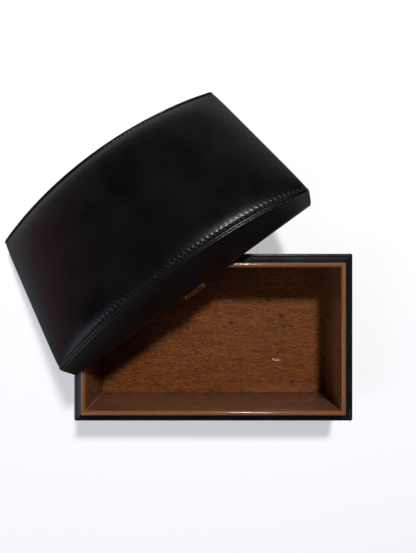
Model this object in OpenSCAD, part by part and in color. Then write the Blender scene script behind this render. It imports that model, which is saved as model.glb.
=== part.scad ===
// Stationery box: a wooden box covered in black leather, lined with brown wood whose rounded lip stands
// above the leather shoulder, and a loose domed lid. The lid is off: one long edge rests across the left
// and back lips, and its other long edge is down on the table behind the box.
// Millimetres. The origin is the centre of the base; X runs along the box, Y to the back, Z up.

/* [Box] */
// Length of the leather-covered box, left to right
box_l = 300; // [285:1:330]
// Depth of the leather-covered box, front to back
box_w = 180; // [170:1:200]
// Height of the leather shoulder above the table
shoulder_z = 68; // [60:1:90]
// How far the wooden lip stands above the shoulder
lip_rise = 13; // [8:1:16]
// Width of the leather shoulder at the two ends
shoulder_end = 11; // [9:0.5:14]
// Width of the leather shoulder at the front and back
shoulder_side = 10; // [9:0.5:14]
// Thickness of the wooden liner and its rounded lip
liner_t = 5; // [4:0.5:7]
// Height of the inside floor above the table
floor_z = 8; // [7:0.5:12]
// Thickness of the inside floor panel
floor_t = 3; // [2:0.5:4]

/* [Leather] */
// Thickness of the leather
leather_t = 1.2; // [0.8:0.1:1.6]
// How far the leather is turned under the base
base_turn = 12; // [8:1:16]
// Diameter of each ridge of the double seam
ridge_d = 1.8; // [1.2:0.1:2.2]
// Distance of the upper ridge from the edge
ridge_top_in = 1.8; // [1.2:0.1:2.4]
// Distance of the lower ridge below the edge
ridge_face_in = 1.6; // [1.2:0.1:2.4]
// Distance from one stitch to the next
stitch_pitch = 5.2; // [4:0.1:7]
// Length of a stitch
stitch_l = 3.6; // [2.5:0.1:3.9]
// Thickness of the thread
stitch_d = 0.8; // [0.6:0.1:1]
// Distance of the stitches from the long edge
stitch_in = 5; // [3.5:0.5:8]

/* [Base] */
// Thickness of the cloth under the base
cover_t = 1; // [0.6:0.1:1.5]
// Distance of the cloth from the outside edge
cover_in = 6; // [4:1:7]

/* [Lid] */
// Depth of the lid, front to back
lid_w = 184; // [182:0.5:184]
// Height of the lid at its ends
lid_end_h = 31; // [28:0.5:34]
// Rise of the dome from the ends to the middle
dome_rise = 29; // [26:0.5:32]
// Thickness of the padding at the long edges
pad_t = 2; // [1.5:0.5:2.5]
// How much higher the padding stands in the middle
crown_h = 3; // [0:0.5:4]
// Thickness of the curved top board
top_board_t = 4; // [3:0.5:5]
// Thickness of the ceiling veneer
ceiling_t = 1; // [0.6:0.2:1.4]
// Thickness of the side linings
side_lining_t = 2.5; // [2:0.5:3]
// Gap between the lid and the wooden lip when it is on
lid_play = 1; // [0.6:0.1:1.4]

/* [Plate] */
// Length of the metal plate
plate_l = 26.5; // [20:0.5:40]
// Thickness of the metal plate
plate_t = 0.8; // [0.5:0.1:1]
// How far the plate laps onto the lid
plate_up = 3.5; // [3:0.5:6]
// How far the plate hangs below the lid's edge
plate_down = 4.5; // [2:0.5:6]
// Distance of the two pins from each other
pin_gap = 21; // [14:0.5:34]
// Diameter of a pin's head
pin_head_d = 1.8; // [1.4:0.1:2.4]
// Diameter of a pin's shank
pin_d = 0.9; // [0.6:0.1:1.2]
// Length of a pin's shank
pin_l = 4; // [3:0.5:5]

/* [Where the lid lies] */
// Angle of the lid's long edge from the length of the box
lid_turn = 36; // [35.75:0.25:36.25]
// Middle of the raised long edge, left to right
lid_x = -19.4; // [-19.7:0.1:-19.2]
// Middle of the raised long edge, front to back
lid_y = 50.4; // [50.2:0.1:50.6]
// Height of the raised edge above the lip
near_gap = 5.4; // [5.2:0.1:6]
// Height of the far edge above the table
far_gap = 0.15; // [0.1:0.05:0.3]

/* [Hidden] */
lip_z = shoulder_z + lip_rise;
half_l = box_l / 2;
half_w = box_w / 2;
// The liner's outside, then the open space inside it
lip_l = box_l - 2 * shoulder_end;
lip_w = box_w - 2 * shoulder_side;
inside_l = lip_l - 2 * liner_t;
inside_w = lip_w - 2 * liner_t;
base_z = floor_z - floor_t;

lid_h = lid_end_h + dome_rise;
dome_r = (half_l * half_l + dome_rise * dome_rise) / (2 * dome_rise);
dome_z = lid_h - dome_r;
// The lid's open mouth, which goes over the lip
mouth_l = lip_l + 2 * lid_play;
mouth_w = lid_w - 2 * shoulder_side;
board_in_x = (box_l - mouth_l) / 2 - side_lining_t;
board_in_y = shoulder_side - side_lining_t;
pad_r = dome_r - leather_t;
board_r = pad_r - pad_t;
ceiling_r = board_r - top_board_t;
hollow_r = ceiling_r - ceiling_t;
rim_up = lip_z + near_gap;
lid_tilt = asin((rim_up - far_gap) / lid_w);
// The crown rises between the two long edges' seams, in even strips
crown_in = 3;
crown_strips = 24;
ridge_tip = 1;
ridge_lift = 0.6;
stitch_end_gap = 4;
stitch_sink = 0.1;
round_fn = 96;
ridge_fn = 12;

// A block centred on X and Y between two heights
module slab(l, w, z0, z1)
    translate([-l / 2, -w / 2, z0]) cube([l, w, z1 - z0]);

// A rectangular ring between two heights
module frame_ring(l, w, in_l, in_w, z0, z1)
    difference() {
        slab(l, w, z0, z1);
        slab(in_l, in_w, z0 - 1, z1 + 1);
    }

// One side's share of a ring with mitred corners; the mitre runs from the corner (l/2, w/2) by (dl, dw)
module share(side, l, w, dl, dw, z0 = -1, z1 = 200) {
    reach = min(l / 2 / dl, w / 2 / dw);
    x1 = l / 2 + 5 * dl;
    y1 = w / 2 + 5 * dw;
    x2 = l / 2 - reach * dl;
    y2 = w / 2 - reach * dw;
    outline = side == "front" ? [[-x1, -y1], [x1, -y1], [x2, -y2], [-x2, -y2]]
        : side == "back" ? [[-x1, y1], [-x2, y2], [x2, y2], [x1, y1]]
        : side == "left" ? [[-x1, -y1], [-x2, -y2], [-x2, y2], [-x1, y1]]
        : [[x1, -y1], [x1, y1], [x2, y2], [x2, -y2]];
    translate([0, 0, z0]) linear_extrude(z1 - z0) polygon(outline);
}

// A ridge's section; turn says which way its round side faces
module half_disc(d, turn)
    intersection() {
        circle(d = d, $fn = ridge_fn);
        rotate(turn) translate([0, -d]) square([d, 2 * d]);
    }

module base_cover()
    color("#141312") slab(box_l - 2 * cover_in, box_w - 2 * cover_in, 0, cover_t);

module base_board()
    color("#7a5a38") {
        slab(box_l - 2 * leather_t, box_w - 2 * leather_t, cover_t + leather_t, base_z);
        slab(box_l - 2 * base_turn, box_w - 2 * base_turn, cover_t, cover_t + leather_t);
    }

module box_board(side)
    color("#8a6a44") intersection() {
        frame_ring(box_l - 2 * leather_t, box_w - 2 * leather_t, lip_l, lip_w, base_z, shoulder_z - leather_t);
        share(side, box_l, box_w, shoulder_end, shoulder_side);
    }

module floor_panel()
    color("#6a3a18") slab(inside_l, inside_w, base_z, floor_z);

// A liner board with a fully rounded top edge, which is the lip
module liner(side) {
    along = side == "front" || side == "back";
    run = along ? lip_l : lip_w;
    out = along ? lip_w / 2 : lip_l / 2;
    turn = side == "front" ? 0 : side == "right" ? 90 : side == "back" ? 180 : 270;
    round_z = lip_z - liner_t / 2;
    color("#7a4a24") intersection() {
        rotate(turn) union() {
            translate([-run / 2, -out, base_z]) cube([run, liner_t, round_z - base_z]);
            translate([-run / 2, liner_t / 2 - out, round_z])
                rotate([0, 90, 0]) cylinder(d = liner_t, h = run, $fn = round_fn);
        }
        share(side, lip_l, lip_w, liner_t, liner_t);
    }
}

// The leather over one side, turned over the shoulder and under the base
module box_leather(side)
    color("#15120f") intersection() {
        difference() {
            slab(box_l, box_w, cover_t, shoulder_z);
            slab(box_l - 2 * leather_t, box_w - 2 * leather_t, cover_t + leather_t, shoulder_z - leather_t);
            slab(lip_l, lip_w, cover_t + 2 * leather_t, shoulder_z + 1);
            slab(box_l - 2 * base_turn, box_w - 2 * base_turn, 0, cover_t + 2 * leather_t);
        }
        share(side, box_l, box_w, shoulder_end, shoulder_side);
    }

// The double ridge down one corner: half-round beads on the end face and on the long face
module corner_seam(sx, sy)
    color("#1d1b1c") translate([0, 0, cover_t + ridge_lift])
        linear_extrude(shoulder_z - cover_t - 2 * ridge_lift) {
            translate([sx * (half_l - ridge_face_in), sy * half_w]) half_disc(ridge_d, sy * 90);
            translate([sx * half_l, sy * (half_w - ridge_top_in)]) half_disc(ridge_d, sx > 0 ? 0 : 180);
        }

// The lid is drawn with its front face on Y = 0 and its edge on Z = 0, then laid down
module laid_down()
    translate([lid_x, lid_y, rim_up]) rotate([0, 0, lid_turn]) rotate([-lid_tilt, 0, 0]) children();

// The space under an arc of the dome, between two depths
module under_dome(r, l, y0, y1, z0)
    intersection() {
        translate([-l / 2, y0, z0]) cube([l, y1 - y0, lid_h]);
        translate([0, y1, dome_z]) rotate([90, 0, 0]) cylinder(r = r, h = y1 - y0, $fn = 240);
    }

// Height of the padded crown above the seams' arc, at a distance from the front face
function crown(y) =
    let(mid = lid_w / 2, t = abs(y - mid) / (mid - crown_in))
    t >= 1 ? 0 : crown_h * (1 - pow(t, 4));

// The places across the lid where the crown's strips meet
function crown_stops() = concat([leather_t],
    [for (i = [0 : crown_strips]) crown_in + (lid_w - 2 * crown_in) * i / crown_strips],
    [lid_w - leather_t]);

// A crowned layer of the dome: r_out and r_in are its radii at the seams, and each may follow the crown
module padded_layer(r_out, r_in, l, crown_below) {
    stops = crown_stops();
    top = [for (y = stops) [r_out + crown(y), -y]];
    under = [for (i = [len(stops) - 1 : -1 : 0]) [r_in + (crown_below ? crown(stops[i]) : 0), -stops[i]]];
    under_ends = [[r_in, -stops[len(stops) - 1]], [r_in, -stops[0]]];
    swing = asin((half_l + shoulder_end) / (dome_r - lid_h));
    intersection() {
        translate([-l / 2, 0, 0]) cube([l, lid_w, lid_h + 2 * crown_h]);
        translate([0, 0, dome_z]) rotate([90, 0, 0]) rotate(90 - swing)
            rotate_extrude(angle = 2 * swing, $fn = 240) polygon(concat(top, crown_below ? under : under_ends));
    }
}

// A layer of the dome between two arcs
module dome_layer(r_out, r_in, l, y0, y1)
    intersection() {
        translate([-l / 2, y0, 0]) cube([l, y1 - y0, lid_h]);
        translate([0, y1, dome_z]) rotate([90, 0, 0]) difference() {
            cylinder(r = r_out, h = y1 - y0, $fn = 240);
            translate([0, 0, -1]) cylinder(r = r_in, h = y1 - y0 + 2, $fn = 240);
        }
    }

// One side's share of the lid's walls, mitred at the corners
module lid_share(side)
    translate([0, lid_w / 2, 0]) share(side, box_l, lid_w, board_in_x, board_in_y);

module lid_ring(in_x0, in_y0, in_x1, in_y1, z0, z1)
    translate([0, lid_w / 2, 0])
        frame_ring(box_l - 2 * in_x0, lid_w - 2 * in_y0, box_l - 2 * in_x1, lid_w - 2 * in_y1, z0, z1);

module lid_wall(side)
    color("#8a6a44") laid_down() difference() {
        intersection() {
            lid_ring(leather_t, leather_t, board_in_x, board_in_y, leather_t, lid_h);
            lid_share(side);
            under_dome(ceiling_r, box_l, 0, lid_w, 0);
        }
        if (side == "front") pin_bores();
    }

module lid_top_board()
    color("#8a6a44") laid_down()
        dome_layer(board_r, ceiling_r, box_l - 2 * leather_t, leather_t, lid_w - leather_t);

module lid_padding()
    color("#c8b99a") laid_down() padded_layer(pad_r, board_r, box_l - 2 * leather_t, false);

// The leather strap: over the dome, down both ends and under the rim there
module lid_leather_top()
    color("#0d0d0f") laid_down() {
        padded_layer(dome_r, pad_r, box_l, true);
        for (sx = [-1, 1]) {
            intersection() {
                translate([sx * (half_l - leather_t / 2) - leather_t / 2, leather_t, 0])
                    cube([leather_t, lid_w - 2 * leather_t, lid_h]);
                padded_layer(pad_r, dome_r - lid_h, box_l, false);
            }
            intersection() {
                lid_ring(leather_t, leather_t, board_in_x, board_in_y, 0, leather_t);
                lid_share(sx < 0 ? "left" : "right");
            }
        }
    }

// The arched leather panel on a long side, turned under the rim
module lid_leather_side(side) {
    y0 = side == "front" ? 0 : lid_w - leather_t;
    color("#15120f") laid_down() difference() {
        union() {
            under_dome(dome_r, box_l, y0, y0 + leather_t, 0);
            intersection() {
                lid_ring(leather_t, leather_t, board_in_x, board_in_y, 0, leather_t);
                lid_share(side);
            }
        }
        if (side == "front") pin_bores();
    }
}

// A half-round ridge that follows the arch
module arch_bead(r, y, turn) {
    swing = asin((half_l + ridge_tip) / r);
    translate([0, y, dome_z]) rotate([90, 0, 0]) rotate(90 - swing)
        rotate_extrude(angle = 2 * swing, $fn = 240) translate([r, 0]) half_disc(ridge_d, turn);
}

// The double ridge along a long edge of the lid and down its two corners
module lid_seam(side) {
    out = side == "front" ? -1 : 1;
    y_face = side == "front" ? 0 : lid_w;
    end_z = lid_end_h - ridge_face_in;
    color("#1d1b1c") laid_down() {
        arch_bead(dome_r - ridge_face_in, y_face, -out * 90);
        arch_bead(dome_r, y_face - out * ridge_top_in, 0);
        for (sx = [-1, 1])
            translate([0, 0, ridge_lift]) linear_extrude(end_z - ridge_lift) {
                translate([sx * (half_l - ridge_face_in), y_face]) half_disc(ridge_d, out * 90);
                translate([sx * half_l, y_face - out * ridge_top_in]) half_disc(ridge_d, sx > 0 ? 0 : 180);
            }
    }
}

// The row of saddle stitches along a long edge of the dome
module lid_stitches(side) {
    y = side == "front" ? stitch_in : lid_w - stitch_in;
    swing = asin((half_l - stitch_end_gap) / dome_r);
    step = stitch_pitch / dome_r * 180 / PI;
    count = floor(2 * swing / step);
    stitch_r = dome_r + crown(stitch_in) - stitch_sink;
    color("#2a2828") laid_down() translate([0, y, dome_z])
        for (i = [0 : count])
            rotate([0, (i - count / 2) * step, 0]) translate([-stitch_l / 2, 0, stitch_r])
                rotate([90, 0, 90]) linear_extrude(stitch_l) intersection() {
                    circle(d = stitch_d, $fn = 12);
                    translate([-stitch_d, 0]) square([2 * stitch_d, stitch_d]);
                }
}

module lid_lining(side)
    color("#5a3420") laid_down() intersection() {
        translate([0, lid_w / 2, 0]) frame_ring(box_l - 2 * board_in_x, lid_w - 2 * board_in_y,
            mouth_l, mouth_w, 0, lid_h);
        translate([0, lid_w / 2, 0])
            share(side, box_l - 2 * board_in_x, lid_w - 2 * board_in_y, side_lining_t, side_lining_t);
        under_dome(hollow_r, box_l, 0, lid_w, 0);
    }

module lid_lining_top()
    color("#5a3420") laid_down()
        dome_layer(ceiling_r, hollow_r, box_l - 2 * board_in_x, board_in_y, lid_w - board_in_y);

// The bores that the plate's two pins sit in
module pin_bores()
    for (sx = [-1, 1])
        translate([sx * pin_gap / 2, pin_l, plate_up / 2]) rotate([90, 0, 0])
            cylinder(d = pin_d, h = pin_l + 2, $fn = 24);

module lid_plate()
    color("#c8c8cc") laid_down() difference() {
        translate([-plate_l / 2, -plate_t, -plate_down]) cube([plate_l, plate_t, plate_up + plate_down]);
        pin_bores();
    }

module lid_plate_pins()
    color("#b8b8bc") laid_down() for (sx = [-1, 1])
        translate([sx * pin_gap / 2, 0, plate_up / 2]) rotate([90, 0, 0]) {
            translate([0, 0, -pin_l]) cylinder(d = pin_d, h = pin_l + plate_t, $fn = 24);
            translate([0, 0, plate_t]) cylinder(d = pin_head_d, h = 0.4, $fn = 24);
        }

base_cover();
base_board();
box_board("front");  // box_front_board
box_board("back");  // box_back_board
box_board("left");  // box_left_board
box_board("right");  // box_right_board
floor_panel();
liner("front");  // liner_front
liner("back");  // liner_back
liner("left");  // liner_left
liner("right");  // liner_right
box_leather("front");  // box_leather_front
box_leather("back");  // box_leather_back
box_leather("left");  // box_leather_left
box_leather("right");  // box_leather_right
corner_seam(-1, -1);  // seam_front_left
corner_seam(1, -1);  // seam_front_right
corner_seam(-1, 1);  // seam_back_left
corner_seam(1, 1);  // seam_back_right
lid_wall("front");  // lid_front_arch
lid_wall("back");  // lid_back_arch
lid_wall("left");  // lid_left_board
lid_wall("right");  // lid_right_board
lid_top_board();
lid_padding();
lid_leather_top();
lid_leather_side("front");  // lid_leather_front
lid_leather_side("back");  // lid_leather_back
lid_seam("front");  // lid_seam_front
lid_seam("back");  // lid_seam_back
lid_stitches("front");  // lid_stitches_front
lid_stitches("back");  // lid_stitches_back
lid_lining("front");  // lid_lining_front
lid_lining("back");  // lid_lining_back
lid_lining("left");  // lid_lining_left
lid_lining("right");  // lid_lining_right
lid_lining_top();
lid_plate();
lid_plate_pins();
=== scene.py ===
# Stationery box: a wooden box in black calf leather with a rounded wooden lip, and its loose domed lid,
# which leans across it. The sections follow the object as it is put together, from the table up.

import math

import bpy
from mathutils import Matrix, Vector


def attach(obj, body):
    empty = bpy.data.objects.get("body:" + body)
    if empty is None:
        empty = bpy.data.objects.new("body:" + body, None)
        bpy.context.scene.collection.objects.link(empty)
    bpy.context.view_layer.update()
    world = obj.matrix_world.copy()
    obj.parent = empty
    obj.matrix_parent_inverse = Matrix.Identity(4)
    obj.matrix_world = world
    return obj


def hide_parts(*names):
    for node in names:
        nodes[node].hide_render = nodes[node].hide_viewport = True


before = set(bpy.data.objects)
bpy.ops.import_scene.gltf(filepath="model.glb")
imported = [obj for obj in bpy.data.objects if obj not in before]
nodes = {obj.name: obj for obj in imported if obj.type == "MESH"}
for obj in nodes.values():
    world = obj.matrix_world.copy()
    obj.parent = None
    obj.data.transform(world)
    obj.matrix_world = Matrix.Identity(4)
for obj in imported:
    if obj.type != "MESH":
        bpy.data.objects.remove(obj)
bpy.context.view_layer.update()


# The view: straight down on the box from about half a metre, as a phone held level above it.
# The lens and its small shift place the image centre where the photograph's is.
MM = 0.001
IMAGE_W = 416
IMAGE_H = 553
FOCAL_PX = 433
CENTRE_PX = (213.7, 273.6)
CAMERA_AT = Vector((0.4, 68.6, 533.5)) * MM

bpy.ops.object.select_all(action="DESELECT")
bpy.ops.object.camera_add(location=CAMERA_AT, rotation=(0, 0, 0))
camera = bpy.context.object
camera.name = "camera"
camera.data.sensor_width = 36
camera.data.lens = camera.data.sensor_width * FOCAL_PX / IMAGE_H
camera.data.shift_x = (IMAGE_W / 2 - CENTRE_PX[0]) / IMAGE_H
camera.data.shift_y = (CENTRE_PX[1] - IMAGE_H / 2) / IMAGE_H
camera.data.clip_start = 0.01
bpy.context.scene.camera = camera
bpy.context.scene.view_settings.view_transform = "Standard"


# The table: a plain matt white sheet that the box stands on. It is lifted to white where it is seen and
# keeps the soft shadow, and it is lifted less where the leather and the plate mirror it.
TABLE_SIZE = 8
TABLE_DROP = 0.2 * MM
TABLE_LIFT = 0.46
TABLE_SHEEN = 0.04


def linear(code):
    """An sRGB hex colour as the linear colour that a socket takes."""
    parts = [int(code[i : i + 2], 16) / 255 for i in (1, 3, 5)]
    return [p / 12.92 if p <= 0.04045 else ((p + 0.055) / 1.055) ** 2.4 for p in parts] + [1]


def new_material(name):
    """A material with its shader ready: returns it, its node tree and the shader."""
    mat = bpy.data.materials.new(name)
    mat.use_nodes = True
    return mat, mat.node_tree, mat.node_tree.nodes["Principled BSDF"]


def add(tree, kind, links=None, **settings):
    """Adds a node. A setting that names an input fills it; any other is the node's own property."""
    node = tree.nodes.new(kind)
    for key, value in settings.items():
        if key.startswith("in_"):
            place = key[3:]
            socket = node.inputs[int(place)] if place.isdigit() else node.inputs[place.replace("_", " ")]
            socket.default_value = value
        else:
            setattr(node, key, value)
    for key, source in (links or {}).items():
        tree.links.new(source, node.inputs[key])
    return node


bpy.ops.object.select_all(action="DESELECT")
bpy.ops.mesh.primitive_plane_add(size=TABLE_SIZE, location=(0, 0, -TABLE_DROP))
table = bpy.context.object
table.name = "table"
table_paper, tree, shader = new_material("table_paper")
shader.inputs["Base Color"].default_value = linear("#cccdd0")
shader.inputs["Roughness"].default_value = 0.9
shader.inputs["Specular IOR Level"].default_value = 0.1
shader.inputs["Emission Color"].default_value = linear("#ffffff")
path = add(tree, "ShaderNodeLightPath")
mirrored = add(tree, "ShaderNodeMath",
    {0: path.outputs["Is Glossy Ray"], 1: path.outputs["Is Transmission Ray"]}, operation="MAXIMUM")
sheen = add(tree, "ShaderNodeMath", {0: mirrored.outputs[0]}, operation="MULTIPLY", in_1=TABLE_SHEEN)
seen = add(tree, "ShaderNodeMath", {0: path.outputs["Is Camera Ray"], 2: sheen.outputs[0]},
    operation="MULTIPLY_ADD", in_1=TABLE_LIFT)
tree.links.new(seen.outputs[0], shader.inputs["Emission Strength"])
table.data.materials.append(table_paper)


# The light: a small ceiling lamp behind the box, a little to its right, throws the lid's and the walls'
# shadows over the inside floor. A window on the left gives the cool sheen along the seams.
CEILING_LAMP = {"at": (0.33, 0.96, 1.66), "size": 0.2, "power": 32, "tint": "#fdfbfc"}
WINDOW = {"at": (-1.23, -0.48, 1.08), "size": 0.9, "power": 8, "tint": "#dfe9ff"}
LIT_AT = Vector((0, 0.04, 0.04))

for name, lamp in (("ceiling_lamp", CEILING_LAMP), ("window", WINDOW)):
    bpy.ops.object.light_add(type="AREA", location=lamp["at"])
    light = bpy.context.object
    light.name = name
    light.data.size = lamp["size"]
    light.data.energy = lamp["power"]
    light.data.color = linear(lamp["tint"])[:3]
    light.rotation_euler = (LIT_AT - light.location).to_track_quat("-Z", "Y").to_euler()


# The room that the leather mirrors: pale walls low down, pinkish on the left and darker behind, under a dim
# ceiling. Each part takes over along one axis of the direction, between two of its values.
ROOM_PARTS = {"ceiling": ("Z", 0.1, 0.3), "right": ("X", -0.95, -0.4), "behind": ("Y", 0.2, 0.8),
    "overhead": ("Y", -0.5, 0.0)}

world = bpy.data.worlds.new("room")
bpy.context.scene.world = world
world.use_nodes = True
tree = world.node_tree
coords = add(tree, "ShaderNodeTexCoord")
aim = add(tree, "ShaderNodeSeparateXYZ", {0: coords.outputs["Generated"]})
share = {}
for part, (axis, start, end) in ROOM_PARTS.items():
    fade = add(tree, "ShaderNodeMapRange", {"Value": aim.outputs[axis]}, interpolation_type="SMOOTHSTEP",
        in_From_Min=start, in_From_Max=end)
    share[part] = fade.outputs["Result"]
side_walls = add(tree, "ShaderNodeMix", {0: share["right"]}, data_type="RGBA",
    in_6=linear("#d07d98"), in_7=linear("#b4b6ba"))
walls = add(tree, "ShaderNodeMix", {0: share["behind"], 6: side_walls.outputs[2]}, data_type="RGBA",
    in_7=linear("#48494b"))
ceiling = add(tree, "ShaderNodeMix", {0: share["overhead"]}, data_type="RGBA",
    in_6=linear("#5b5a5f"), in_7=linear("#302f31"))
room = add(tree, "ShaderNodeMix", {0: share["ceiling"], 6: walls.outputs[2], 7: ceiling.outputs[2]},
    data_type="RGBA")
# Where the room is seen itself it is plain white
path = add(tree, "ShaderNodeLightPath")
backdrop = add(tree, "ShaderNodeMix", {0: path.outputs["Is Camera Ray"], 6: room.outputs[2]},
    data_type="RGBA", in_7=linear("#ffffff"))
tree.links.new(backdrop.outputs[2], tree.nodes["Background"].inputs["Color"])


# The base: thin black felt glued under the board that the walls stand on. It covers the leather's edges,
# which are turned in under the board.

# Its nap, in tufts to a metre, is drawn coarser than felt's own, which is too fine to show
NAP_TUFTS = 1.4 / MM


def base_cloth():
    """Thin glued felt, matt, with a short nap."""
    mat, tree, shader = new_material("base_felt")
    coords = add(tree, "ShaderNodeTexCoord")
    nap = add(tree, "ShaderNodeTexNoise", {"Vector": coords.outputs["Object"]},
        in_Scale=NAP_TUFTS, in_Detail=3)
    ramp = add(tree, "ShaderNodeValToRGB", {"Fac": nap.outputs["Fac"]})
    ramp.color_ramp.elements[0].color = linear("#0c0b0b")
    ramp.color_ramp.elements[1].color = linear("#242222")
    bump = add(tree, "ShaderNodeBump", {"Height": nap.outputs["Fac"]}, in_Strength=0.5, in_Distance=0.2 * MM)
    tree.links.new(ramp.outputs["Color"], shader.inputs["Base Color"])
    tree.links.new(bump.outputs["Normal"], shader.inputs["Normal"])
    shader.inputs["Roughness"].default_value = 0.95
    shader.inputs["Sheen Weight"].default_value = 0.3
    return mat


def give(names, mat):
    """Puts one material on CAD nodes that keep their own shape."""
    for name in names:
        nodes[name].data.materials.clear()
        nodes[name].data.materials.append(mat)


give(["base_cover"], base_cloth())


# The carcase: plain softwood boards, mitred at the corners and glued up on the base board. The leather and
# the liner boards hide them.

# Streaks to a metre, across the grain and along it: each is under a millimetre wide and about six long,
# which is coarser than the wood's own pores, as those are too fine to show. The broad bands among them are
# so many times as wide, and the varnish lies in pools about four millimetres wide.
GRAIN_ACROSS = 1.3 / MM
GRAIN_ALONG = 0.17 / MM
GRAIN_BAND = 11
FINE_SHARE = 0.86
VARNISH_POOLS = 0.26 / MM


def wood(name, dark, light, along, coat, marks=()):
    """Planed wood with its grain along one axis: long fine streaks, darker pores, and a varnish coat."""
    mat, tree, shader = new_material(name)
    coords = add(tree, "ShaderNodeTexCoord")
    stretch = [GRAIN_ACROSS] * 3
    stretch["XYZ".index(along)] = GRAIN_ALONG
    fine_map = add(tree, "ShaderNodeMapping", {"Vector": coords.outputs["Object"]}, in_Scale=stretch)
    fine = add(tree, "ShaderNodeTexNoise", {"Vector": fine_map.outputs[0]},
        in_Scale=1.0, in_Detail=5, in_Roughness=0.7, in_Distortion=0.5)
    broad_map = add(tree, "ShaderNodeMapping", {"Vector": coords.outputs["Object"]},
        in_Scale=[s / GRAIN_BAND for s in stretch])
    broad = add(tree, "ShaderNodeTexNoise", {"Vector": broad_map.outputs[0]},
        in_Scale=1.0, in_Detail=3, in_Roughness=0.5, in_Distortion=0.8)
    both = add(tree, "ShaderNodeMix", data_type="FLOAT", in_0=FINE_SHARE)
    tree.links.new(broad.outputs["Fac"], both.inputs[2])
    tree.links.new(fine.outputs["Fac"], both.inputs[3])
    ramp = add(tree, "ShaderNodeValToRGB", {"Fac": both.outputs[0]})
    ramp.color_ramp.elements[0].position = 0.38
    ramp.color_ramp.elements[0].color = linear(dark)
    ramp.color_ramp.elements[1].position = 0.64
    ramp.color_ramp.elements[1].color = linear(light)
    colour = ramp.outputs["Color"]
    for extra in marks:
        colour = extra(tree, coords, colour)
    pores = add(tree, "ShaderNodeBump", {"Height": fine.outputs["Fac"]},
        in_Strength=0.3, in_Distance=0.15 * MM)
    pools = add(tree, "ShaderNodeTexNoise", {"Vector": coords.outputs["Object"]},
        in_Scale=VARNISH_POOLS, in_Detail=2)
    varnish = add(tree, "ShaderNodeBump", {"Height": pools.outputs["Fac"], "Normal": pores.outputs[0]},
        in_Strength=0.35, in_Distance=0.4 * MM)
    tree.links.new(colour, shader.inputs["Base Color"])
    tree.links.new(varnish.outputs["Normal"], shader.inputs["Normal"])
    tree.links.new(varnish.outputs["Normal"], shader.inputs["Coat Normal"])
    shader.inputs["Roughness"].default_value = 0.55
    shader.inputs["Specular IOR Level"].default_value = 0.15
    shader.inputs["Coat Weight"].default_value = coat
    shader.inputs["Coat Roughness"].default_value = 0.14
    return mat


carcase_x = wood("carcase_softwood_x", "#6e5236", "#a58560", "X", 0.0)
carcase_y = wood("carcase_softwood_y", "#6e5236", "#a58560", "Y", 0.0)
give(["base_board", "box_front_board", "box_back_board"], carcase_x)
give(["box_left_board", "box_right_board"], carcase_y)


# The inside floor: a varnished mahogany panel with its grain along the box, let in between the boards.
# Things dropped on it have left small dark dents and one pale scuff.

# Each mark's middle and half size, in millimetres, its colour and its strength. Its edge is ragged in lumps
# about a millimetre wide.
MARK_LUMPS = 0.9 / MM
FLOOR_MARKS = [
    ((67.3, 36.2), (3.4, 2.2), "#1a0b05", 0.9),
    ((82.2, 17.8), (4.2, 1.8), "#1f0d06", 0.85),
    ((21.6, 9.0), (3.2, 1.9), "#1a0b05", 0.9),
    ((-22.6, 10.6), (3.0, 1.5), "#1f0d06", 0.7),
    ((-31.6, 2.6), (2.8, 2.0), "#1a0b05", 0.75),
    ((-95.1, -60.5), (2.4, 1.6), "#1f0d06", 0.5),
    ((95.8, -62.2), (3.6, 1.9), "#241008", 0.8),
    ((77.1, -36.3), (4.6, 1.2), "#b9a596", 0.8),
    ((72.6, -35.0), (1.2, 1.0), "#d9cbbf", 0.8),
]


def floor_marks(tree, coords, colour):
    """The dents and the scuff: small ragged spots at their places on the panel."""
    ragged = add(tree, "ShaderNodeTexNoise", {"Vector": coords.outputs["Object"]},
        in_Scale=MARK_LUMPS, in_Detail=2)
    for (x, y), (half_x, half_y), tint, strength in FLOOR_MARKS:
        place = add(tree, "ShaderNodeMapping", {"Vector": coords.outputs["Object"]},
            in_Scale=(1 / MM / half_x, 1 / MM / half_y, 0), in_Location=(-x / half_x, -y / half_y, 0))
        far = add(tree, "ShaderNodeVectorMath", {0: place.outputs[0]}, operation="LENGTH")
        edge = add(tree, "ShaderNodeMath", {0: far.outputs["Value"], 1: ragged.outputs["Fac"]},
            operation="ADD")
        cover = add(tree, "ShaderNodeMapRange", {"Value": edge.outputs[0]},
            in_From_Min=0.95, in_From_Max=1.6, in_To_Min=strength, in_To_Max=0)
        mixed = add(tree, "ShaderNodeMix", {0: cover.outputs["Result"], 6: colour}, data_type="RGBA",
            in_7=linear(tint))
        colour = mixed.outputs[2]
    return colour


floor_wood = wood("floor_mahogany", "#381a09", "#864b1c", "X", 0.06, marks=[floor_marks])
give(["floor_panel"], floor_wood)


# The liner boards: varnished mahogany, mitred at the corners, their tops rounded over into the lip. They
# stand inside the outer boards, and in one corner a little glue has run out.
LINER_T = 5 * MM
LIP_Z = 81 * MM
LIP_L = 278 * MM
LIP_W = 160 * MM
LIP_R = LINER_T * 0.48
BASE_Z = 5 * MM
INNER_X = -LIP_L / 2 + LINER_T
INNER_Y = -LIP_W / 2 + LINER_T
GLUE_LINE = 0.55 * MM
# Between these heights the lip's top is painted lighter and more golden: painted light, as from the lamp
# above
LIP_LIGHT_FROM = LIP_Z - 3 * MM
LIP_LIGHT_FULL = LIP_Z - 1.5 * MM
MITRE_SPARE = 10 * MM
LINER_EASE = 0.25 * MM
# Edges sharper than the first angle are eased, and those below the second are shaded smooth
SHARP_OVER = math.radians(50)
SMOOTH_UNDER = math.radians(40)
# Places nearer than this are the same place
TINY = 1e-6
# Each side's quarter turn, its length, and the lip's size across it
SIDES = {"front": (0, LIP_L, LIP_W), "right": (90, LIP_W, LIP_L),
    "back": (180, LIP_L, LIP_W), "left": (270, LIP_W, LIP_L)}


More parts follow.
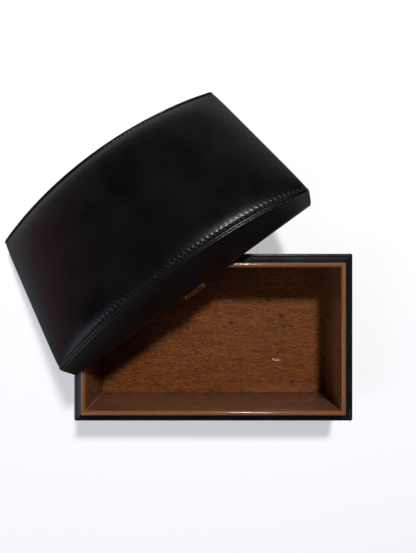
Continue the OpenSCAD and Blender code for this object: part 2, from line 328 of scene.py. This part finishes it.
def take(obj):
    """Takes up one object alone, for the operators that follow."""
    bpy.ops.object.select_all(action="DESELECT")
    obj.select_set(True)
    bpy.context.view_layer.objects.active = obj


def edit_all(obj, operator, **settings):
    """Runs one edit mode operator on the whole of a mesh."""
    take(obj)
    bpy.ops.object.mode_set(mode="EDIT")
    bpy.ops.mesh.select_all(action="SELECT")
    operator(**settings)
    bpy.ops.object.mode_set(mode="OBJECT")


def pick_edges(obj, test):
    """Selects the edges whose two ends pass a test, ready for edit mode."""
    take(obj)
    bpy.ops.object.mode_set(mode="EDIT")
    bpy.ops.mesh.select_mode(type="EDGE")
    bpy.ops.mesh.select_all(action="DESELECT")
    bpy.ops.object.mode_set(mode="OBJECT")
    points = obj.data.vertices
    for edge in obj.data.edges:
        edge.select = test(*[points[i].co for i in edge.vertices])


def modify(obj, kind, **settings):
    """Adds a modifier and applies it at once."""
    take(obj)
    mod = obj.modifiers.new(kind.lower(), kind)
    for key, value in settings.items():
        setattr(mod, key, value)
    bpy.ops.object.modifier_apply(modifier=mod.name)


def cut(obj, point, normal):
    """Cuts away what lies on the normal's side of a plane and closes the cut."""
    edit_all(obj, bpy.ops.mesh.bisect, plane_co=point, plane_no=normal, use_fill=True, clear_outer=True)


def fit_piece(obj, body, replaced, mat):
    """Finishes a piece: its material, its outward faces and smooth shading, what it rides on, and the CAD
    parts that it stands for, which are hidden."""
    obj.data.materials.clear()
    obj.data.materials.append(mat)
    take(obj)
    bpy.ops.object.transform_apply(location=True, rotation=True, scale=True)
    edit_all(obj, bpy.ops.mesh.normals_make_consistent, inside=False)
    bpy.ops.object.shade_smooth_by_angle(angle=SMOOTH_UNDER)
    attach(obj, body)
    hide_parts(*replaced)


def glue_line(tree, coords, colour):
    """The pale line of glue that shows up one inside corner, at the front left."""
    place = add(tree, "ShaderNodeMapping", {"Vector": coords.outputs["Object"]},
        in_Scale=(1 / GLUE_LINE, 1 / GLUE_LINE, 0),
        in_Location=(-INNER_X / GLUE_LINE, -INNER_Y / GLUE_LINE, 0))
    far = add(tree, "ShaderNodeVectorMath", {0: place.outputs[0]}, operation="LENGTH")
    cover = add(tree, "ShaderNodeMapRange", {"Value": far.outputs["Value"]},
        in_From_Min=0.7, in_From_Max=1.3, in_To_Min=0.8, in_To_Max=0)
    mixed = add(tree, "ShaderNodeMix", {0: cover.outputs["Result"], 6: colour}, data_type="RGBA",
        in_7=linear("#a98a70"))
    return mixed.outputs[2]


def painted_lip_light(tree, coords, colour):
    """Painted light: the lip's top is painted lighter and more golden than the walls below it, for the light
    from above and its highlight.
    """
    level = add(tree, "ShaderNodeSeparateXYZ", {0: coords.outputs["Object"]})
    cover = add(tree, "ShaderNodeMapRange", {"Value": level.outputs["Z"]},
        in_From_Min=LIP_LIGHT_FROM, in_From_Max=LIP_LIGHT_FULL, in_To_Min=0, in_To_Max=0.6)
    mixed = add(tree, "ShaderNodeMix", {0: cover.outputs["Result"], 6: colour}, data_type="RGBA",
        in_7=linear("#885421"))
    return mixed.outputs[2]


# The boards along X, front and back, are painted a little bluer than those along Y: a painted sheen, for the
# veil that the varnish on the front wall mirrors
liner_x = wood("liner_mahogany_x", "#4c2a1f", "#875842", "X", 0.75, marks=[glue_line, painted_lip_light])
liner_y = wood("liner_mahogany_y", "#4c2a1c", "#87583d", "Y", 0.75, marks=[glue_line, painted_lip_light])

for side, (turn, along, across) in SIDES.items():
    bpy.ops.object.select_all(action="DESELECT")
    bpy.ops.mesh.primitive_cube_add(size=1, location=(0, LINER_T / 2 - across / 2, (BASE_Z + LIP_Z) / 2))
    board = bpy.context.object
    board.name = "liner_board_" + side
    board.dimensions = (along + 2 * MITRE_SPARE, LINER_T, LIP_Z - BASE_Z)
    bpy.ops.object.transform_apply(location=True, rotation=True, scale=True)
    pick_edges(board, lambda a, b: min(a.z, b.z) > LIP_Z - TINY and abs(a.x - b.x) > along / 2)
    bpy.ops.object.mode_set(mode="EDIT")
    bpy.ops.mesh.bevel(offset=LIP_R, segments=8, profile=0.5, affect="EDGES")
    bpy.ops.object.mode_set(mode="OBJECT")
    for sx in (-1, 1):
        cut(board, (sx * along / 2, -across / 2, 0), (sx, 1, 0))
    modify(board, "BEVEL", width=LINER_EASE, segments=2, limit_method="ANGLE", angle_limit=SHARP_OVER)
    board.rotation_euler = (0, 0, math.radians(turn))
    fit_piece(board, "box", ["liner_" + side], liner_x if side in ("front", "back") else liner_y)


# The box's leather: four panels of black calf, glued to the boards, turned over the shoulder at the top,
# where a creased line runs round near the edge, and turned under the base board.
BOX_L = 300 * MM
BOX_W = 180 * MM
SHOULDER_Z = 68 * MM
SHOULDER_END = 11 * MM
SHOULDER_SIDE = 10 * MM
LEATHER_T = 1.2 * MM
BOX_FOLD_R = 1.7 * MM
UNDER_Z = 1 * MM
UNDER_TURN = 12 * MM
CREASE_IN = 3.6 * MM
CREASE_HALF = 0.5 * MM
FOLD_STEPS = 6
CORNER_SOFT_R = 2.4 * MM
# Where a panel's rows lie near its end, from just past it inwards, and where the even ones begin
END_PLACES = [e * MM for e in (1.0, 0.2, -0.5, -1.1, -1.8, -2.6, -3.8)]
EVEN_FROM = 6 * MM
EVEN_COUNT = 49
# Marks to a metre: the hide's slow clouds, its soft waves, and its pores, which are drawn about a
# millimetre wide because real ones are too fine to show
HIDE_CLOUDS = 0.022 / MM
HIDE_WAVES = 0.26 / MM
HIDE_PORES = 0.9 / MM


def calf(name, tint, light, rough, grain=0.35, specular=0.3):
    """Glazed calf: near black, with fine pores, slow unevenness of the hide and a waxed gloss."""
    mat, tree, shader = new_material(name)
    coords = add(tree, "ShaderNodeTexCoord")
    hide = add(tree, "ShaderNodeTexNoise", {"Vector": coords.outputs["Object"]},
        in_Scale=HIDE_CLOUDS, in_Detail=4, in_Roughness=0.55)
    pores = add(tree, "ShaderNodeTexVoronoi", {"Vector": coords.outputs["Object"]}, in_Scale=HIDE_PORES)
    soft = add(tree, "ShaderNodeTexNoise", {"Vector": coords.outputs["Object"]},
        in_Scale=HIDE_WAVES, in_Detail=5, in_Roughness=0.6)
    ramp = add(tree, "ShaderNodeValToRGB", {"Fac": hide.outputs["Fac"]})
    ramp.color_ramp.elements[0].position = 0.35
    ramp.color_ramp.elements[0].color = linear(tint)
    ramp.color_ramp.elements[1].position = 0.7
    ramp.color_ramp.elements[1].color = linear(light)
    gloss = add(tree, "ShaderNodeMapRange", {"Value": hide.outputs["Fac"]},
        in_From_Min=0.3, in_From_Max=0.7, in_To_Min=rough - 0.05, in_To_Max=rough + 0.07)
    waves = add(tree, "ShaderNodeBump", {"Height": soft.outputs["Fac"]},
        in_Strength=grain, in_Distance=0.25 * MM)
    pits = add(tree, "ShaderNodeBump", {"Height": pores.outputs["Distance"], "Normal": waves.outputs[0]},
        in_Strength=grain * 0.4, in_Distance=0.1 * MM)
    tree.links.new(ramp.outputs["Color"], shader.inputs["Base Color"])
    tree.links.new(gloss.outputs["Result"], shader.inputs["Roughness"])
    tree.links.new(pits.outputs[0], shader.inputs["Normal"])
    shader.inputs["IOR"].default_value = 1.45
    shader.inputs["Specular IOR Level"].default_value = specular
    return mat


def new_grid(name, columns, rows):
    """A flat grid, ready to be shaped: returns it and its points, row by row."""
    bpy.ops.object.select_all(action="DESELECT")
    bpy.ops.mesh.primitive_grid_add(x_subdivisions=columns - 1, y_subdivisions=rows - 1, size=1)
    grid = bpy.context.object
    grid.name = name
    return grid, sorted(grid.data.vertices, key=lambda v: (round(v.co.y, 5), v.co.x))


def begin_sheet(name, row, step):
    """A sheet's first strip: a row of points and the same row one step on."""
    sheet, points = new_grid(name, len(row), 2)
    for vertex, point in zip(points, row + [point + step for point in row]):
        vertex.co = point
    end = row[0] + step
    axis = (row[-1] - row[0]).normalized()
    pick_edges(sheet, lambda a, b: max((p - end).cross(axis).length for p in (a, b)) < TINY)
    return sheet


def fold_sheet(sheet, moves):
    """Draws the sheet's selected edge on: pulls it by a vector, or turns it about an axis."""
    bpy.ops.object.mode_set(mode="EDIT")
    for kind, where, *rest in moves:
        if kind == "pull":
            bpy.ops.mesh.extrude_region_move(TRANSFORM_OT_translate={"value": where})
        else:
            axis, degrees, steps = rest
            bpy.ops.mesh.spin(steps=steps, angle=-math.radians(degrees), center=where, axis=axis)
    bpy.ops.object.mode_set(mode="OBJECT")
    edit_all(sheet, bpy.ops.mesh.remove_doubles, threshold=TINY)


def thicken(sheet, outward, at, thickness):
    """Gives a sheet its thickness on the side away from outward, as seen at a face near a point."""
    face = min(sheet.data.polygons, key=lambda f: (f.center - at).length)
    if face.normal.dot(outward) < 0:
        edit_all(sheet, bpy.ops.mesh.flip_normals)
    modify(sheet, "SOLIDIFY", thickness=thickness, offset=-1, use_even_offset=True)


def soften(obj, low, high, radius):
    """Rounds a boxy shell: a point near two or three of the box's sides is drawn in to the rounding."""
    for vertex in obj.data.vertices:
        near = Vector()
        for i in range(3):
            if vertex.co[i] > high[i] - radius:
                near[i] = vertex.co[i] - (high[i] - radius)
            elif vertex.co[i] < low[i] + radius:
                near[i] = vertex.co[i] - (low[i] + radius)
        if near.length > 0:
            reach = max(abs(part) for part in near)
            vertex.co += near * (reach / near.length - 1)


def spread(low, high, count):
    """Even places from low to high, both ends included."""
    return [low + (high - low) * i / (count - 1) for i in range(count)]


def stations(half):
    """Places along a panel, close together near its two ends, where the corners are rounded."""
    ends = [half + place for place in END_PLACES]
    middle = spread(-half + EVEN_FROM, half - EVEN_FROM, EVEN_COUNT)
    return [-e for e in ends] + middle + ends[::-1]


box_calf = calf("box_calf", "#141517", "#1b1c1f", 0.24, specular=0.2)
# A bound far off, for a side of the shell that isn't rounded
NO_TOP = 1
# Each side's quarter turn, its length, the box's size across it, its neighbours' and its own shoulder
# width, how far its outer edge is rubbed down, and how deep the crease beside it is
PANELS = {"front": (0, BOX_L, BOX_W, SHOULDER_END, SHOULDER_SIDE, 0.15 * MM, 0.4 * MM),
    "right": (90, BOX_W, BOX_L, SHOULDER_SIDE, SHOULDER_END, 0.2 * MM, 0.4 * MM),
    "back": (180, BOX_L, BOX_W, SHOULDER_END, SHOULDER_SIDE, 0.05 * MM, 0.12 * MM),
    "left": (270, BOX_W, BOX_L, SHOULDER_SIDE, SHOULDER_END, 0.4 * MM, 0.4 * MM)}

for side, (turn, along, across, inset_end, inset, drop, crease) in PANELS.items():
    out = -across / 2
    row = [Vector((x, out + inset, SHOULDER_Z)) for x in stations(along / 2)]
    panel = begin_sheet("leather_panel_" + side, row, Vector((0, -(inset - CREASE_IN - CREASE_HALF), 0)))
    fold_z = SHOULDER_Z - drop - BOX_FOLD_R
    half_wall = (UNDER_Z + BOX_FOLD_R - fold_z) / 2
    fold_sheet(panel, [
        ("pull", (0, -CREASE_HALF, -crease)),
        ("pull", (0, -CREASE_HALF, crease)),
        ("pull", (0, -(CREASE_IN - CREASE_HALF - BOX_FOLD_R), -drop)),
        ("turn", (0, out + BOX_FOLD_R, fold_z), (1, 0, 0), 90, FOLD_STEPS),
        ("pull", (0, 0, half_wall)),
        ("pull", (0, 0, half_wall)),
        ("turn", (0, out + BOX_FOLD_R, UNDER_Z + BOX_FOLD_R), (1, 0, 0), 90, FOLD_STEPS),
        ("pull", (0, UNDER_TURN - BOX_FOLD_R, 0)),
    ])
    thicken(panel, Vector((0, -1, 0)), Vector((0, out, SHOULDER_Z / 2)), LEATHER_T)
    for sx in (-1, 1):
        cut(panel, (sx * along / 2, out, 0), Vector((sx * inset, inset_end, 0)).normalized())
    soften(panel, (-along / 2, out, UNDER_Z), (along / 2, NO_TOP, NO_TOP), CORNER_SOFT_R)
    panel.rotation_euler = (0, 0, math.radians(turn))
    fit_piece(panel, "box", ["box_leather_" + side], box_calf)


# The corner seams: where two panels meet, their edges stand up as a pair of ridges with a dark gap between.
# The ridges are burnished, so they catch the light, and they stop just under the shoulder's fold.
RIDGE_R = 0.8 * MM
RIDGE_TIP = 0.55
RIDGE_FACE_IN = 1.6 * MM
RIDGE_TOP_IN = 1.8 * MM
CORNER_RIDGE_SINK = 0.3 * MM
SEAM_END_GAP = 1.2 * MM
SEAM_POINTS = 16
burnished = calf("burnished_edge", "#0c0c0d", "#151617", 0.25, grain=0.15, specular=0.45)


def ridge(points):
    """One rounded ridge along a line of points, thinner at its two ends."""
    bpy.ops.object.select_all(action="DESELECT")
    bpy.ops.curve.primitive_nurbs_path_add(radius=1)
    line = bpy.context.object
    line.data.splines.clear()
    spline = line.data.splines.new("POLY")
    last = len(points) - 1
    spline.points.add(last)
    for i, point in enumerate(points):
        spline.points[i].co = (*point, 1)
        spline.points[i].radius = RIDGE_TIP if i in (0, last) else 1.0
    line.data.dimensions = "3D"
    line.data.bevel_depth = RIDGE_R
    line.data.bevel_resolution = 3
    line.data.use_fill_caps = True
    bpy.ops.object.convert(target="MESH")
    made = bpy.context.object
    bpy.ops.object.transform_apply(location=True, rotation=True, scale=True)
    edit_all(made, bpy.ops.mesh.remove_doubles, threshold=TINY)
    return made


def join(name, parts):
    """Joins pieces into one."""
    bpy.ops.object.select_all(action="DESELECT")
    for part in parts:
        part.select_set(True)
    bpy.context.view_layer.objects.active = parts[0]
    bpy.ops.object.join()
    parts[0].name = name
    return parts[0]


def corner_ridge(x, y):
    """A ridge up a corner of the box, from the base to just under the shoulder's fold."""
    heights = spread(UNDER_Z + SEAM_END_GAP, SHOULDER_Z - SEAM_END_GAP, SEAM_POINTS)
    return ridge([Vector((x, y, z)) for z in heights])


for sy, row_name in ((-1, "front"), (1, "back")):
    for sx, side in ((-1, "left"), (1, "right")):
        on_face = corner_ridge(sx * (BOX_L / 2 - RIDGE_FACE_IN), sy * (BOX_W / 2 - CORNER_RIDGE_SINK))
        on_end = corner_ridge(sx * (BOX_L / 2 - CORNER_RIDGE_SINK), sy * (BOX_W / 2 - RIDGE_TOP_IN))
        seam = join("corner_seam_%s_%s" % (row_name, side), [on_face, on_end])
        fit_piece(seam, "box", ["seam_%s_%s" % (row_name, side)], burnished)


# The lid's boards: arched front and back, plain ends and a thin curved top, glued up like the box.
# They lie under the leather and the lining, so only their bare wood matters.
give(["lid_front_arch", "lid_back_arch", "lid_left_board", "lid_right_board", "lid_top_board"], carcase_x)


# The lid's lining: the same varnished mahogany as the box, thin boards round the sides and a bent veneer
# for the ceiling. It shows only from below.
lining = ["lid_lining_" + part for part in ("front", "back", "left", "right", "top")]
give(lining, liner_x)


# The padding: a sheet of felt glued between the top board and the leather. It is wholly covered, and what
# shows of it is the strap's swell.
felt = base_cloth()
felt.name = "padding_felt"
give(["lid_padding"], felt)


# The lid's front and back leather: arched panels of calf, turned under the rim. Each is drawn in the lid's
# own place, with its front face on Y = 0 and its rim on Z = 0, and is then laid down across the box.
LID_W = 184 * MM
LID_END_H = 31 * MM
DOME_RISE = 29 * MM
DOME_R = (BOX_L**2 / 4 + DOME_RISE**2) / (2 * DOME_RISE)
DOME_Z = LID_END_H + DOME_RISE - DOME_R
CORNER_R = 5.5 * MM
LID_TURN = math.radians(36)
LID_AT = Vector((-19.4, 50.4, 86.4)) * MM
FAR_GAP = 0.15 * MM
LID_TILT = math.asin((LID_AT.z - FAR_GAP) / LID_W)
RIM_TURN = 7.5 * MM
RIM_FOLD_R = 1.3 * MM
RIM_FOLD_STEPS = 5
LID_SOFT_R = 3.2 * MM
DOME_LEAN = math.asin((BOX_L / 2 - CORNER_R) / (DOME_R - CORNER_R))
DOME_STEP = 4 * MM
TURN_POINTS = 9
PANEL_ROWS = 9
PANEL_SWELL = 0.5 * MM
UNDER_SEAM = 0.4 * MM
# Each long side's outer face, and which way is inwards from it
LID_SIDES = (("front", 0, 1), ("back", LID_W, -1))


def lay_down(obj):
    """Turns a piece from the lid's own place to where the lid lies."""
    turn = Matrix.Rotation(LID_TURN, 4, "Z") @ Matrix.Rotation(-LID_TILT, 4, "X")
    obj.data.transform(Matrix.Translation(LID_AT) @ turn)


def soften_lid(obj):
    """Rounds the lid's upright corners and the corners of its rim."""
    soften(obj, (-BOX_L / 2, 0, 0), (BOX_L / 2, LID_W, NO_TOP), LID_SOFT_R)


def over_the_dome(step):
    """The outline of the lid from its left rim over the dome to its right rim: places with their outward
    directions. The corners are round, and the steps are about even."""
    centre = Vector((0, 0, DOME_Z))
    inner = DOME_R - CORNER_R
    corner = Vector((BOX_L / 2 - CORNER_R, 0, DOME_Z + inner * math.cos(DOME_LEAN)))
    half = []
    for angle in spread(0, DOME_LEAN, max(3, round(DOME_LEAN * DOME_R / step) + 1)):
        out = Vector((math.sin(angle), 0, math.cos(angle)))
        half.append((centre + out * DOME_R, out))
    for angle in spread(DOME_LEAN, math.pi / 2, TURN_POINTS)[1:]:
        out = Vector((math.sin(angle), 0, math.cos(angle)))
        half.append((corner + out * CORNER_R, out))
    for z in spread(corner.z, 0, TURN_POINTS)[1:]:
        half.append((Vector((BOX_L / 2, 0, z)), Vector((1, 0, 0))))
    flip = Matrix.Diagonal((-1, 1, 1))
    return [(flip @ p, flip @ n) for p, n in reversed(half[1:])] + half


lid_calf = calf("lid_calf", "#060607", "#0b0b0c", 0.3, specular=0.22)
panel_calf = calf("lid_panel_calf", "#0b0d10", "#111418", 0.36, specular=0.16)
for side, y_face, inward in LID_SIDES:
    top = [p for p, out in over_the_dome(DOME_STEP) if out.z > TINY]
    arch, points = new_grid("leather_arch_" + side, len(top), PANEL_ROWS)
    for i, vertex in enumerate(points):
        share_up = (i // len(top)) / (PANEL_ROWS - 1)
        crest = top[i % len(top)]
        swell = PANEL_SWELL * math.sin(math.pi * share_up) * (1 - (crest.x / BOX_L * 2) ** 4)
        height = RIM_FOLD_R + (crest.z - UNDER_SEAM - RIM_FOLD_R) * share_up
        vertex.co = (crest.x, y_face - inward * swell, height)
    pick_edges(arch, lambda a, b: max(a.z, b.z) < RIM_FOLD_R + TINY)
    fold_sheet(arch, [
        ("turn", (0, y_face + inward * RIM_FOLD_R, RIM_FOLD_R), (1, 0, 0), 90 * inward, RIM_FOLD_STEPS),
        ("pull", (0, inward * (RIM_TURN - RIM_FOLD_R), 0)),
    ])
    thicken(arch, Vector((0, -inward, 0)), Vector((0, y_face, LID_END_H / 2)), LEATHER_T)
    soften_lid(arch)
    lay_down(arch)
    fit_piece(arch, "lid", ["lid_leather_" + side], panel_calf)


# The lid's top leather: one strap of calf drawn over the padding and down both ends, turned under the rim.
# The padding crowns it between the long edges, and the stitches pull a puckered groove along each edge.
PILLOW_H = 5.0 * MM
PILLOW_RUN = 11 * MM
PILLOW_END_RUN = 22 * MM
FLAT_BELOW = 14 * MM
STITCH_IN = 5 * MM
STITCH_PITCH = 5.2 * MM
STITCH_L = 3.6 * MM
STITCH_D = 0.8 * MM
ROLL_H = 0.6 * MM
ROLL_SPAN = math.pi * 0.8
GROOVE_DEEP = 0.5 * MM
GROOVE_HALF = 0.9 * MM
PUCKER = 0.22 * MM
PUCKER_OUT = 0.6 * MM
PUCKER_HALF = 3.2 * MM
PUCKER_SLANT = 9 * MM
END_SHARE = 0.15
TOP_LEAN = 0.3
TOP_FADE = 0.5
STEPS_PER_STITCH = 7
# How far in from a long edge the strap's rows lie, in millimetres: close together over the stitches
EDGE_ROWS = (0.6, 1.4, 2.2, 2.9, 3.5, 4.1, 4.6, 5.0, 5.4, 5.9, 6.5, 7.2, 8.0, 9.0, 10.2, 11.8, 13.8, 16.5, 20,
    25, 31, 39, 49, 61, 75)


def pillow(edge):
    """How high the padding lifts the leather above the seams' arc, at a distance in from a long edge. It is
    a low roll between the seam and the stitches, and rises fast inside the stitches."""
    if edge < STITCH_IN:
        return ROLL_H * math.sin(ROLL_SPAN * edge / STITCH_IN)
    roll = ROLL_H * math.sin(ROLL_SPAN)
    return roll + (PILLOW_H - roll) * (1 - math.exp(-(edge - STITCH_IN) / PILLOW_RUN))


def strap_lift(y, run, out):
    """The strap's height over the outline: the pillow, the stitched groove and its puckers."""
    on_top = max(0, min(1, (out.z - TOP_LEAN) / TOP_FADE))
    edge = min(y, LID_W - y)
    past = edge - STITCH_IN
    from_end = max(0, DOME_R * DOME_LEAN - abs(run))
    share = END_SHARE + (1 - END_SHARE) * (1 - math.exp(-from_end / PILLOW_END_RUN))
    groove = math.exp(-((past / GROOVE_HALF) ** 2))
    pleat = math.exp(-(((past + PUCKER_OUT) / PUCKER_HALF) ** 2))
    wave = math.cos(2 * math.pi * (run / STITCH_PITCH + past / PUCKER_SLANT))
    return pillow(edge) * share + on_top * share * (pleat * wave * PUCKER - groove * GROOVE_DEEP)


outline = over_the_dome(STITCH_PITCH / STEPS_PER_STITCH)
runs = [DOME_R * math.atan2(p.x, p.z - DOME_Z) for p, out in outline]
places = [y * MM for y in EDGE_ROWS] + [LID_W / 2] + [LID_W - y * MM for y in reversed(EDGE_ROWS)]
strap, points = new_grid("leather_strap", len(outline), len(places))
for i, vertex in enumerate(points):
    column = i % len(outline)
    p, out = outline[column]
    y = places[i // len(outline)]
    spot = p + out * strap_lift(y, runs[column], out) * min(1, p.z / FLAT_BELOW)
    vertex.co = (spot.x, y, max(spot.z, RIM_FOLD_R if abs(p.x) < BOX_L / 2 else p.z))
for sx in (-1, 1):
    pick_edges(strap, lambda a, b: sx * a.x > 0 and max(a.z, b.z) < TINY)
    bpy.ops.object.mode_set(mode="EDIT")
    bpy.ops.transform.translate(value=(0, 0, RIM_FOLD_R))
    bpy.ops.object.mode_set(mode="OBJECT")
    fold_sheet(strap, [
        ("turn", (sx * (BOX_L / 2 - RIM_FOLD_R), 0, RIM_FOLD_R), (0, 1, 0), 90 * sx, RIM_FOLD_STEPS),
        ("pull", (-sx * (RIM_TURN - RIM_FOLD_R), 0, 0)),
    ])
thicken(strap, Vector((0, 0, 1)), Vector((0, LID_W / 2, LID_END_H + DOME_RISE)), LEATHER_T)
soften_lid(strap)
lay_down(strap)
fit_piece(strap, "lid", ["lid_leather_top", "lid_padding"], lid_calf)


# The lid's seams: the strap's edge and the arched panel's edge stand up side by side as two burnished
# ridges. They run along the dome and over its round ends, and again up the two corners from the rim.
RIDGE_FOOT = 0.9 * MM
RIDGE_HEAD = LID_END_H - CORNER_R * 0.6
END_RIDGE_POINTS = 8


def dome_ridge(y, inset):
    """A ridge along the dome, a little inside the outline on the panel or on top of the strap."""
    return ridge([Vector((p.x, y, p.z)) - out * inset
        for p, out in over_the_dome(DOME_STEP) if out.z > TOP_LEAN])


def end_ridge(x, y):
    """A ridge up a corner of the lid, from its rim to the end of the dome's ridge."""
    return ridge([Vector((x, y, z)) for z in spread(RIDGE_FOOT, RIDGE_HEAD, END_RIDGE_POINTS)])


for side, y_face, inward in LID_SIDES:
    y_strap = y_face + inward * RIDGE_TOP_IN
    parts = [dome_ridge(y_face, RIDGE_FACE_IN), dome_ridge(y_strap, 0)]
    for sx in (-1, 1):
        parts.append(end_ridge(sx * (BOX_L / 2 - RIDGE_FACE_IN), y_face))
        parts.append(end_ridge(sx * BOX_L / 2, y_strap))
    seam = join("lid_seam_ridges_" + side, parts)
    soften_lid(seam)
    lay_down(seam)
    fit_piece(seam, "lid", ["lid_seam_" + side], burnished)


# The stitches: waxed black thread, saddle stitched by hand, so each stitch leans a little in its hole. They
# lie in the groove that they pull into the padding.
STITCH_LEAN = math.radians(12)
STITCH_END_GAP = 4 * MM
STITCH_FLAT = 1.1
STITCH_STAND = 0.3
# Twists to a metre, drawn coarser than the thread's own, which are too fine to show
TWISTS = 0.9 / MM


def waxed_thread():
    """Twisted linen thread under wax: dark, with a fine slanting twist."""
    mat, tree, shader = new_material("waxed_thread")
    coords = add(tree, "ShaderNodeTexCoord")
    twist = add(tree, "ShaderNodeTexWave", {"Vector": coords.outputs["Object"]},
        in_Scale=TWISTS, in_Distortion=2.0, bands_direction="DIAGONAL")
    ramp = add(tree, "ShaderNodeValToRGB", {"Fac": twist.outputs["Fac"]})
    ramp.color_ramp.elements[0].color = linear("#0b0b0c")
    ramp.color_ramp.elements[1].color = linear("#1c1c1f")
    bump = add(tree, "ShaderNodeBump", {"Height": twist.outputs["Fac"]},
        in_Strength=0.4, in_Distance=0.1 * MM)
    tree.links.new(ramp.outputs["Color"], shader.inputs["Base Color"])
    tree.links.new(bump.outputs["Normal"], shader.inputs["Normal"])
    shader.inputs["Roughness"].default_value = 0.5
    return mat


thread = waxed_thread()
swing = math.asin((BOX_L / 2 - STITCH_END_GAP) / DOME_R)
pitch_angle = STITCH_PITCH / DOME_R
count = math.floor(2 * swing / pitch_angle)
stitch_r = DOME_R + pillow(STITCH_IN) - GROOVE_DEEP + STITCH_D * STITCH_STAND
for side, y_face, inward in LID_SIDES:
    bpy.ops.object.select_all(action="DESELECT")
    bpy.ops.mesh.primitive_uv_sphere_add(segments=8, ring_count=7, radius=0.5)
    first = bpy.context.object
    first.data.transform(Matrix.Rotation(math.pi / 2, 4, "Y"))
    first.data.transform(Matrix.Diagonal((STITCH_L, STITCH_D * STITCH_FLAT, STITCH_D, 1)))
    first.data.transform(Matrix.Rotation(STITCH_LEAN * inward, 4, "Z"))
    centre = Matrix.Translation((0, y_face + inward * STITCH_IN, DOME_Z))
    stitches = []
    for i in range(count + 1):
        angle = (i - count / 2) * pitch_angle
        one = first.copy()
        one.data = first.data.copy()
        bpy.context.scene.collection.objects.link(one)
        one.data.transform(centre @ Matrix.Rotation(angle, 4, "Y") @ Matrix.Translation((0, 0, stitch_r)))
        stitches.append(one)
    bpy.data.objects.remove(first)
    row = join("saddle_stitches_" + side, stitches)
    lay_down(row)
    fit_piece(row, "lid", ["lid_stitches_" + side], thread)


# The plate: a small polished strip of nickel silver at the middle of the front rim. It is bare, its edges
# are bevelled bright, and two round-headed pins hold it.
PLATE_L = 26.5 * MM
PLATE_T = 0.8 * MM
PLATE_UP = 3.5 * MM
PLATE_DOWN = 4.5 * MM
PLATE_BEVEL = 0.38 * MM
PIN_GAP = 21 * MM
PIN_HEAD_D = 1.8 * MM
PIN_FLAT = 0.45
# Hairlines to a metre, along the plate and up it: they are a few millimetres long and a quarter of one
# apart, which is coarser than real ones, as those are too fine to show
HAIRLINES = (0.3 / MM, 0.3 / MM, 4 / MM)


def nickel(name, colour, rough):
    """Polished nickel silver: bright, with a few hairlines along it from wiping."""
    mat, tree, shader = new_material(name)
    coords = add(tree, "ShaderNodeTexCoord")
    along = add(tree, "ShaderNodeMapping", {"Vector": coords.outputs["Object"]}, in_Scale=HAIRLINES)
    hair = add(tree, "ShaderNodeTexNoise", {"Vector": along.outputs[0]}, in_Scale=1.0, in_Detail=3)
    gloss = add(tree, "ShaderNodeMapRange", {"Value": hair.outputs["Fac"]},
        in_To_Min=rough, in_To_Max=rough + 0.12)
    bump = add(tree, "ShaderNodeBump", {"Height": hair.outputs["Fac"]},
        in_Strength=0.08, in_Distance=0.05 * MM)
    tree.links.new(gloss.outputs["Result"], shader.inputs["Roughness"])
    tree.links.new(bump.outputs["Normal"], shader.inputs["Normal"])
    shader.inputs["Base Color"].default_value = linear(colour)
    shader.inputs["Metallic"].default_value = 1
    return mat


bpy.ops.object.select_all(action="DESELECT")
bpy.ops.mesh.primitive_cube_add(size=1, location=(0, -PLATE_T / 2, (PLATE_UP - PLATE_DOWN) / 2))
plate = bpy.context.object
plate.name = "rim_plate"
plate.dimensions = (PLATE_L, PLATE_T, PLATE_UP + PLATE_DOWN)
bpy.ops.object.transform_apply(location=True, rotation=True, scale=True)
modify(plate, "BEVEL", width=PLATE_BEVEL, segments=3, limit_method="ANGLE", angle_limit=SHARP_OVER)
lay_down(plate)
# The plate's nickel is painted darker and warmer than the pins': painted shade, standing for the shaded wood
# that it mirrors
fit_piece(plate, "lid", ["lid_plate"], nickel("polished_nickel_painted_dark", "#958c84", 0.1))

pins = []
for sx in (-1, 1):
    bpy.ops.object.select_all(action="DESELECT")
    bpy.ops.mesh.primitive_uv_sphere_add(segments=20, ring_count=10, radius=PIN_HEAD_D / 2,
        location=(sx * PIN_GAP / 2, -PLATE_T, PLATE_UP / 2))
    pin = bpy.context.object
    bpy.ops.transform.resize(value=(1, PIN_FLAT, 1))
    bpy.ops.object.transform_apply(location=True, rotation=True, scale=True)
    pins.append(pin)
heads = join("plate_pin_heads", pins)
lay_down(heads)
fit_piece(heads, "lid", ["lid_plate_pins"], nickel("pin_nickel", "#c9c8c4", 0.16))
